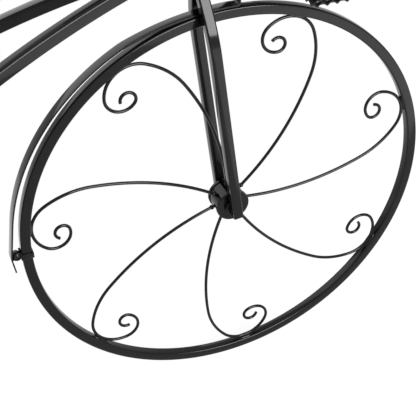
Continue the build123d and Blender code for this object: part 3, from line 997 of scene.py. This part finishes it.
class HandlebarOperator(bpy.types.Operator):
    """Makes the handlebar and its two grips"""

    bl_idname = "stand.handlebar"
    bl_label = "Make the handlebar"

    def execute(self, context):
        sizes = context.scene.stand_frame
        side = context.scene.stand_wheels.tube
        corner = context.scene.stand_wheels.corner
        axis, ahead = steering_frame(context)
        origin = middle("front_rim") + axis * sizes.bar_height
        left_corner, left_end = bar_end(1)
        right_corner, right_end = bar_end(-1)
        flats = [(0, BAR_FLAT), (0, -BAR_FLAT)]
        flat = filleted([left_end, left_corner, *flats, right_corner, right_end], BAR_BEND)
        points = [origin + ahead * x + ACROSS * y for x, y in flat]
        mesh = tube("handlebar_tube", points, (side, side, corner), axis)
        piece_from(mesh, "handlebar_tube", "steering", "black_coat", "handlebar")
        for name, sign in (("left_grip", 1), ("right_grip", -1)):
            last, end = bar_end(sign)
            way = (end - last).normalized()
            out = ahead * way.x + ACROSS * way.y
            tip = origin + ahead * end.x + ACROSS * end.y + out * GRIP_CAP
            mesh = grip_mesh(name + "_sleeve", tip, out, side)
            piece_from(mesh, name + "_sleeve", "steering", "grip_rubber", name)
        return {"FINISHED"}


# The clip's screw: a domed head on the right side of the clip's ears, and its shank
HEAD_RADIUS = 4.1 * MM
HEAD_HEIGHT = 2.6 * MM
HEAD_EDGE = 0.45 * MM
HEAD_SEAT = 3.5 * MM
# The dome's outline, as shares of the head's radius and height
DOME = ((0.7, 0.92), (1, 0.4))
RECESS_RADIUS = 1.5 * MM
RECESS_DEPTH = 1.4 * MM
SHANK_RADIUS = 1.5 * MM
SCREW_SIDES = 32


class ScrewOperator(bpy.types.Operator):
    """Makes the screw that closes the rim clip"""

    bl_idname = "stand.clip_screw"
    bl_label = "Make the clip's screw"

    def execute(self, context):
        centre = middle("clip_screw")
        seat = low_corner("rim_clip").y + HEAD_SEAT
        length = high_corner("clip_screw").y - seat
        dome = [(HEAD_RADIUS * wide, -HEAD_HEIGHT * high) for wide, high in DOME]
        head = [(RECESS_RADIUS, -HEAD_HEIGHT), *dome, (HEAD_RADIUS, 0), (SHANK_RADIUS, 0)]
        recess = [(0, RECESS_DEPTH - HEAD_HEIGHT), (RECESS_RADIUS, RECESS_DEPTH - HEAD_HEIGHT)]
        profile = recess + filleted(head, HEAD_EDGE) + [(SHANK_RADIUS, length), (0, length)]
        place = Vector((centre.x, seat, centre.z))
        mesh = lathe("clip_screw_turned", profile, place, ACROSS, SCREW_SIDES)
        piece_from(mesh, "clip_screw_turned", "steering", "black_screw", "clip_screw")
        return {"FINISHED"}


# The side nets' outer faces lie this far outside the rings
NET_OUTSIDE = 1.55 * MM


class NetOperator(bpy.types.Operator):
    """Makes the expanded steel nets of both baskets"""

    bl_idname = "stand.nets"
    bl_label = "Make the nets"

    def execute(self, context):
        for basket, body in (("front_basket", "steering"), ("rear_basket", "frame")):
            floor = self.floor(context, basket)
            piece_from(floor, basket + "_floor_mesh", body, "net_black", basket + "_floor_net")
            walls = self.walls(context, basket)
            piece_from(walls, basket + "_side_mesh", body, "net_black", basket + "_side_nets")
        return {"FINISHED"}

    def net(self, context, name, low_width, high_width, height):
        sizes = context.scene.stand_net
        group = tree_of("expanded_net", net_tree)
        values = {"Low width": low_width, "High width": high_width, "Height": height}
        values |= {"Along": sizes.along, "Rise": sizes.rise, "Strand": sizes.strand}
        values |= {"Sheet": sizes.sheet, "Tilt": sizes.tilt, "Finish": finish_of("net_black")}
        return run_tree(name, bpy.data.meshes.new(name), group, values)

    def floor(self, context, basket):
        """The floor, its diamonds' long way along the basket."""
        size = extent(basket + "_floor_net")
        mesh = self.net(context, basket + "_floor_mesh", size.x, size.x, size.y)
        mesh.transform(Matrix.Translation(middle(basket + "_floor_net")))
        return mesh

    def walls(self, context, basket):
        """The four sides, each in its leaning plane outside the two rings."""
        centre = middle(basket + "_base_frame")
        half = extent(basket + "_base_frame") / 2
        flare = extent(basket + "_rim_frame").x / 2 - half.x
        half += Vector((NET_OUTSIDE, NET_OUTSIDE, 0))
        low_z, high_z = low_corner(basket + "_side_nets").z, high_corner(basket + "_side_nets").z
        sheet = extent(basket + "_floor_net").z
        name = basket + "_side_mesh"
        meshes = []
        for way in (Vector((1, 0, 0)), Vector((-1, 0, 0)), ACROSS, -ACROSS):
            out = half.x if way.x else half.y
            wide = half.y if way.x else half.x
            low = Vector((centre.x, 0, low_z)) + way * (out - sheet / 2)
            high = Vector((centre.x, 0, high_z)) + way * (out - sheet / 2 + flare)
            climb = (high - low).normalized()
            along = climb.cross(way).normalized()
            face = along.cross(climb)
            turned = Matrix((along, climb, face)).transposed().to_4x4()
            widths = (2 * wide, 2 * (wide + flare))
            mesh = self.net(context, name, *widths, (high - low).length)
            mesh.transform(Matrix.Translation((low + high) / 2) @ turned)
            meshes.append(mesh)
        return joined(name, meshes)


# CAD nodes that keep their shape but get rounded corners, with the body and the rounding of each
BAR_ROUNDING = 1.5 * MM
ROD_ROUNDING = 0.9 * MM
SMALL_ROUNDING = 0.3 * MM
SOFT_NODES = (
    ("steering", BAR_ROUNDING, "fork_crown left_carrier_rail right_carrier_rail carrier_cross"),
    ("steering", ROD_ROUNDING, "front_basket_base_frame front_basket_rim_frame"),
    ("steering", ROD_ROUNDING, "front_basket_corner_posts"),
    ("frame", ROD_ROUNDING, "rear_basket_base_frame rear_basket_rim_frame"),
    ("frame", ROD_ROUNDING, "rear_basket_corner_posts"),
    ("frame", BAR_ROUNDING, "left_post right_post rear_tie"),
    ("frame", SMALL_ROUNDING, "cross_tie"),
    ("steering", SMALL_ROUNDING, "rim_clip guard_lug clip_nut lock_nut"),
    ("frame", SMALL_ROUNDING, "rear_cap_nuts head_tube"),
)


def slot_of(node):
    """The record's material slot of a CAD node."""
    rows = frame["record"]["subparts"]
    return next(row["material_slot"] for row in rows if row["node"] == node)


class BarOperator(bpy.types.Operator):
    """Makes the straight bars and small fittings from their CAD nodes, with rounded corners"""

    bl_idname = "stand.bars"
    bl_label = "Make the bars"

    def execute(self, context):
        for body, rounding, nodes in SOFT_NODES:
            for node in nodes.split():
                piece_from(softened(node, rounding), node + "_bar", body, slot_of(node), node)
        return {"FINISHED"}


class FinishOperator(bpy.types.Operator):
    """Gives the CAD nodes their finishes"""

    bl_idname = "stand.finishes"
    bl_label = "Give the finishes"

    def execute(self, context):
        for node, shown in frame["nodes"].items():
            shown.data.materials.clear()
            shown.data.materials.append(finish_of(slot_of(node)))
        return {"FINISHED"}


# Studio

CAMERA_LENS = 89.7
SENSOR_WIDTH = 36
CAMERA_AZIMUTH = math.radians(-22.23)
CAMERA_HEIGHT = math.radians(38.07)
# To the right, up and back from the front wheel's middle, as the camera sees it
CAMERA_OFFSET = Vector((-20 * MM, -9.5 * MM, 1026 * MM))
# Places from the front wheel's middle, sizes and powers. The lamps point at the wheel
LAMPS = (
    ("back_lamp", (-0.32, 1.46, 0.82), (2.6, 0.85), 16),
    ("key_lamp", (0.2, -0.95, 0.95), (0.9, 0.9), 16),
    ("side_lamp", (0.25, -1.1, 0.34), (0.75, 0.55), 30),
)
# The cards lie just over the floor and shine upwards
CARDS = (
    ("front_card", (0.5, -0.75, -0.2), (0.7, 0.9), 4),
    ("back_card", (-0.5, 0.4, -0.2), (0.65, 0.6), 0.55),
)
# The world's strength as it lights the stand. Where it is seen or mirrored its strength is 1
SKY_LIGHT = 0.35
FLOOR_HALF = 40.0
FLOOR_ROUGHNESS = 0.9
# Where the floor is seen it is plain white by this share, and takes shadows by the rest
FLOOR_WHITE = 0.9


def lamp(name, place, aim, size, power):
    """A soft box that points at a place."""
    data = bpy.data.lights.new(name, "AREA")
    data.shape = "RECTANGLE"
    data.size, data.size_y = size
    data.energy = power
    light = linked(name, data)
    light.location = place
    light.rotation_euler = (aim - place).to_track_quat("-Z", "Y").to_euler()
    light.visible_camera = False


def seen_directly(tree):
    """1 for rays from the camera and in mirrors and glass, and 0 for light that falls on things."""
    rays = tree.add("ShaderNodeLightPath")
    seen = rays.out("Is Camera Ray") + rays.out("Is Glossy Ray") + rays.out("Is Transmission Ray")
    return tree.maths("MINIMUM", seen, 1)


class StageOperator(bpy.types.Operator):
    """Makes the floor, the lamps, the surroundings and the camera"""

    bl_idname = "stand.stage"
    bl_label = "Make the studio"

    def execute(self, context):
        self.floor(context)
        self.surroundings(context)
        wheel = middle("front_rim")
        for name, offset, size, power in LAMPS:
            lamp(name, wheel + Vector(offset), wheel, size, power)
        for name, offset, size, power in CARDS:
            place = wheel + Vector(offset)
            lamp(name, place, place + UP, size, power)
        self.camera(context)
        context.scene.view_settings.view_transform = "Standard"
        return {"FINISHED"}

    def floor(self, context):
        mesh = bpy.data.meshes.new("studio_floor")
        corners = [(x * FLOOR_HALF, y * FLOOR_HALF, 0) for x, y in ((-1, -1), (1, -1), (1, 1), (-1, 1))]
        mesh.from_pydata(corners, [], [(0, 1, 2, 3)])
        floor = linked("studio_floor", mesh)
        material = bpy.data.materials.new("studio_floor")
        material.use_nodes = True
        tree = Tree(material.node_tree)
        shader = material.node_tree.nodes["Principled BSDF"]
        shader.inputs["Base Color"].default_value = (*context.scene.stand_colours.floor, 1)
        shader.inputs["Roughness"].default_value = FLOOR_ROUGHNESS
        glow = {"Color": (1, 1, 1, 1), "Strength": 1.0}
        white = tree.add("ShaderNodeEmission", None, glow).out("Emission")
        plain = Socket(tree, shader.outputs["BSDF"])
        seen = seen_directly(tree) * FLOOR_WHITE
        mixed = tree.add("ShaderNodeMixShader", None, {0: seen, 1: plain, 2: white}).out("Shader")
        tree.link(mixed, material.node_tree.nodes["Material Output"].inputs["Surface"])
        mesh.materials.append(material)

    def surroundings(self, context):
        world = bpy.data.worlds.new("studio_world")
        context.scene.world = world
        world.use_nodes = True
        tree = Tree(world.node_tree)
        sky = world.node_tree.nodes["Background"]
        sky.inputs["Color"].default_value = (1, 1, 1, 1)
        tree.link(seen_directly(tree) * (1 - SKY_LIGHT) + SKY_LIGHT, sky.inputs["Strength"])

    def camera(self, context):
        data = bpy.data.cameras.new("photo_camera")
        data.lens = CAMERA_LENS
        data.sensor_width = SENSOR_WIDTH
        camera = linked("photo_camera", data)
        level = Vector((math.cos(CAMERA_AZIMUTH), math.sin(CAMERA_AZIMUTH), 0))
        back = Vector((level.y, -level.x, 0)) * math.cos(CAMERA_HEIGHT) + UP * math.sin(CAMERA_HEIGHT)
        top = back.cross(level)
        place = middle("front_rim")
        place += level * CAMERA_OFFSET.x + top * CAMERA_OFFSET.y + back * CAMERA_OFFSET.z
        camera.location = place
        camera.rotation_mode = "QUATERNION"
        camera.rotation_quaternion = (-back).to_track_quat("-Z", "Y")
        context.scene.camera = camera


OPERATORS = (
    RimOperator,
    SpokeOperator,
    HubOperator,
    ForkOperator,
    BackboneOperator,
    GuardOperator,
    HandlebarOperator,
    ScrewOperator,
    NetOperator,
    BarOperator,
    FinishOperator,
    StageOperator,
)


class StandPanel(bpy.types.Panel):
    """Lists the steps that dress the stand."""

    bl_idname = "VIEW3D_PT_plant_stand"
    bl_label = "Plant stand"
    bl_space_type = "VIEW_3D"
    bl_region_type = "UI"
    bl_category = "Plant stand"

    def draw(self, context):
        for group in GROUPS:
            sizes = getattr(context.scene, group)
            for key in sizes.bl_rna.properties.keys():
                if key not in ("rna_type", "name"):
                    self.layout.prop(sizes, key)
        for operator in OPERATORS:
            self.layout.operator(operator.bl_idname)


GROUPS = {
    "stand_wheels": WheelSizes,
    "stand_frame": FrameSizes,
    "stand_net": NetSizes,
    "stand_colours": FinishColours,
}


def register():
    for group in GROUPS.values():
        bpy.utils.register_class(group)
    for name, group in GROUPS.items():
        setattr(bpy.types.Scene, name, bpy.props.PointerProperty(type=group))
    for operator in OPERATORS:
        bpy.utils.register_class(operator)
    bpy.utils.register_class(StandPanel)


def unregister():
    bpy.utils.unregister_class(StandPanel)
    for operator in reversed(OPERATORS):
        bpy.utils.unregister_class(operator)
    for name in GROUPS:
        delattr(bpy.types.Scene, name)
    for group in reversed(list(GROUPS.values())):
        bpy.utils.unregister_class(group)


def main():
    register()
    for operator in OPERATORS:
        area, step = operator.bl_idname.split(".")
        getattr(getattr(bpy.ops, area), step)()


if __name__ == "__main__":
    main()
